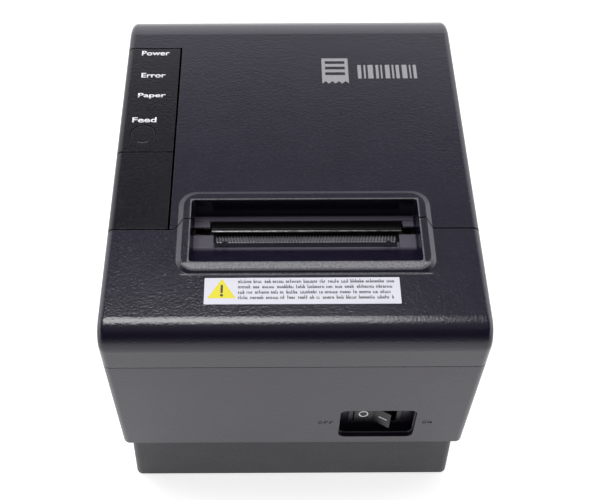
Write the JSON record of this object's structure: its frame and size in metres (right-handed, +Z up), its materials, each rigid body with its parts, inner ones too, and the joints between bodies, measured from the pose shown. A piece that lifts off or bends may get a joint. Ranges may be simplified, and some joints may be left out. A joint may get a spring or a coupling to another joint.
{
  "type": "receipt printer",
  "caption": "Black countertop receipt printer with a hinged paper lid, cutter, front cover, feed button, lid release key and rocker switch.",
  "frame": {"origin": "on the table, under the middle of the housing", "axes": "+X to the operator's right, +Y to the rear, +Z up"},
  "size_m": [0.145, 0.18, 0.1284],
  "materials": {
    "case_plastic": "fine spark-textured black moulding, front and sides",
    "cover_plastic": "fine spark-textured black moulding",
    "base_plastic": "textured dark grey moulding",
    "inner_plastic": "plain black moulding",
    "foot_rubber": "soft black rubber",
    "platen_rubber": "ground roller rubber",
    "screw_steel": "zinc-plated screws",
    "frame_steel": "galvanised sheet",
    "shaft_steel": "turned steel",
    "blade_steel": "hardened blade steel with a ground edge",
    "motor_metal": "plated motor cans",
    "gear_plastic": "natural acetal",
    "head_metal": "extruded aluminium heat sink",
    "head_ceramic": "glazed ceramic strip",
    "board_green": "green solder mask",
    "component_black": "moulded components",
    "socket_black": "moulded sockets",
    "cable_white": "flat cable",
    "wire_sleeve": "sleeved wires",
    "light_clear": "clear light guides",
    "lamp_resin": "lamp resin",
    "switch_black": "polished switch moulding",
    "label_white": "blank printed film"
  },
  "bodies": {
    "root": {"base_tub": "base_plastic", "rubber_feet": "foot_rubber", "base_screws": "screw_steel", "rating_label": "label_white", "main_case": "case_plastic", "hinge_pins": "shaft_steel", "main_board": "board_green", "board_screws": "screw_steel", "board_components": "component_black", "usb_socket": "socket_black", "network_socket": "socket_black", "drawer_socket": "socket_black", "power_inlet": "socket_black", "paper_bucket": "inner_plastic", "paper_sensor": "component_black", "mech_frame": "frame_steel", "head_pivot": "shaft_steel", "head_springs": "shaft_steel", "head_ribbon": "cable_white", "paper_motor": "motor_metal", "gear_stud": "shaft_steel", "cutter_frame": "inner_plastic", "cutter_motor": "motor_metal", "side_bracket": "inner_plastic", "control_console": "cover_plastic", "light_pipes": "light_clear", "console_board": "board_green", "indicator_lamps": "lamp_resin", "tact_switch": "component_black", "release_spring": "shaft_steel", "switch_housing": "switch_black", "wire_looms": "wire_sleeve"},
    "print_head": {"head_heatsink": "head_metal", "head_substrate": "head_ceramic"},
    "lid": {"lid_shell": "cover_plastic", "lid_liner": "inner_plastic", "platen_bracket": "frame_steel", "lid_screws": "screw_steel", "fixed_blade": "blade_steel", "platen_bearings": "gear_plastic"},
    "platen": {"platen_rubber": "platen_rubber", "platen_shaft": "shaft_steel", "platen_gear": "gear_plastic"},
    "reduction": {"reduction_gear": "gear_plastic"},
    "motor_rotor": {"motor_pinion": "gear_plastic"},
    "blade": {"movable_blade": "blade_steel", "blade_carrier": "gear_plastic"},
    "cutter_drive": {"cutter_shaft": "shaft_steel", "cutter_gear": "gear_plastic"},
    "cutter_rotor": {"cutter_pinion": "gear_plastic"},
    "front_cover": {"front_cover": "cover_plastic", "tear_bar": "blade_steel", "tear_bar_screws": "screw_steel", "cover_label": "label_white"},
    "release_key": {"release_key": "cover_plastic"},
    "latch": {"latch_lever": "shaft_steel"},
    "feed_button": {"feed_button": "cover_plastic"},
    "rocker": {"rocker": "switch_black"}
  },
  "joints": [
    {"name": "lid_hinge", "type": "hinge", "parent": "root", "child": "lid", "pos_m": [0, 0.081, 0.101], "axis": [-1, 0, 0], "range_deg": [0, 85]},
    {"name": "platen_spin", "type": "hinge", "parent": "lid", "child": "platen", "pos_m": [0.0045, -0.0292, 0.104], "axis": [1, 0, 0], "continuous": true},
    {"name": "reduction_spin", "type": "hinge", "parent": "root", "child": "reduction", "pos_m": [0.056, -0.04502, 0.09312], "axis": [1, 0, 0], "continuous": true},
    {"name": "motor_spin", "type": "hinge", "parent": "root", "child": "motor_rotor", "pos_m": [0.056, -0.065, 0.089], "axis": [1, 0, 0], "continuous": true},
    {"name": "head_swing", "type": "hinge", "parent": "root", "child": "print_head", "pos_m": [0.0045, -0.04245, 0.084], "axis": [1, 0, 0], "range_deg": [0, 1.5], "stiffness_Nm_per_rad": 4, "springref_deg": -5.73},
    {"name": "blade_slide", "type": "slide", "parent": "root", "child": "blade", "axis": [0, 1, 0], "range_m": [0, 0.01]},
    {"name": "cutter_spin", "type": "hinge", "parent": "root", "child": "cutter_drive", "pos_m": [0, -0.062, 0.1089], "axis": [-1, 0, 0], "range_deg": [0, 160]},
    {"name": "cutter_motor_spin", "type": "hinge", "parent": "root", "child": "cutter_rotor", "pos_m": [-0.046, -0.074, 0.0999], "axis": [1, 0, 0], "range_deg": [0, 640]},
    {"name": "front_cover_lift", "type": "slide", "parent": "root", "child": "front_cover", "axis": [0, 0, 1], "range_m": [0, 0.03]},
    {"name": "release_press", "type": "slide", "parent": "root", "child": "release_key", "axis": [0, 0, -1], "range_m": [0, 0.0025], "stiffness_N_per_m": 600, "springref_m": -0.004},
    {"name": "latch_turn", "type": "hinge", "parent": "root", "child": "latch", "pos_m": [-0.05, -0.029, 0.092], "axis": [1, 0, 0], "range_deg": [0, 20.5]},
    {"name": "feed_press", "type": "slide", "parent": "root", "child": "feed_button", "axis": [0, 0, -1], "range_m": [0, 0.0008], "stiffness_N_per_m": 400, "springref_m": -0.002},
    {"name": "rocker_turn", "type": "hinge", "parent": "root", "child": "rocker", "pos_m": [0.0343, -0.082, 0.0578], "axis": [0, 0, 1], "range_deg": [0, 28]}
  ],
  "couplings": [
    {"joint": "reduction_spin", "follows": "platen_spin", "ratio": -0.88235},
    {"joint": "motor_spin", "follows": "platen_spin", "ratio": 2.8676},
    {"joint": "cutter_spin", "follows": "blade_slide", "rad_per_m": 277.78},
    {"joint": "cutter_motor_spin", "follows": "blade_slide", "rad_per_m": 1111.1},
    {"joint": "latch_turn", "follows": "release_press", "rad_per_m": 139.63}
  ]
}
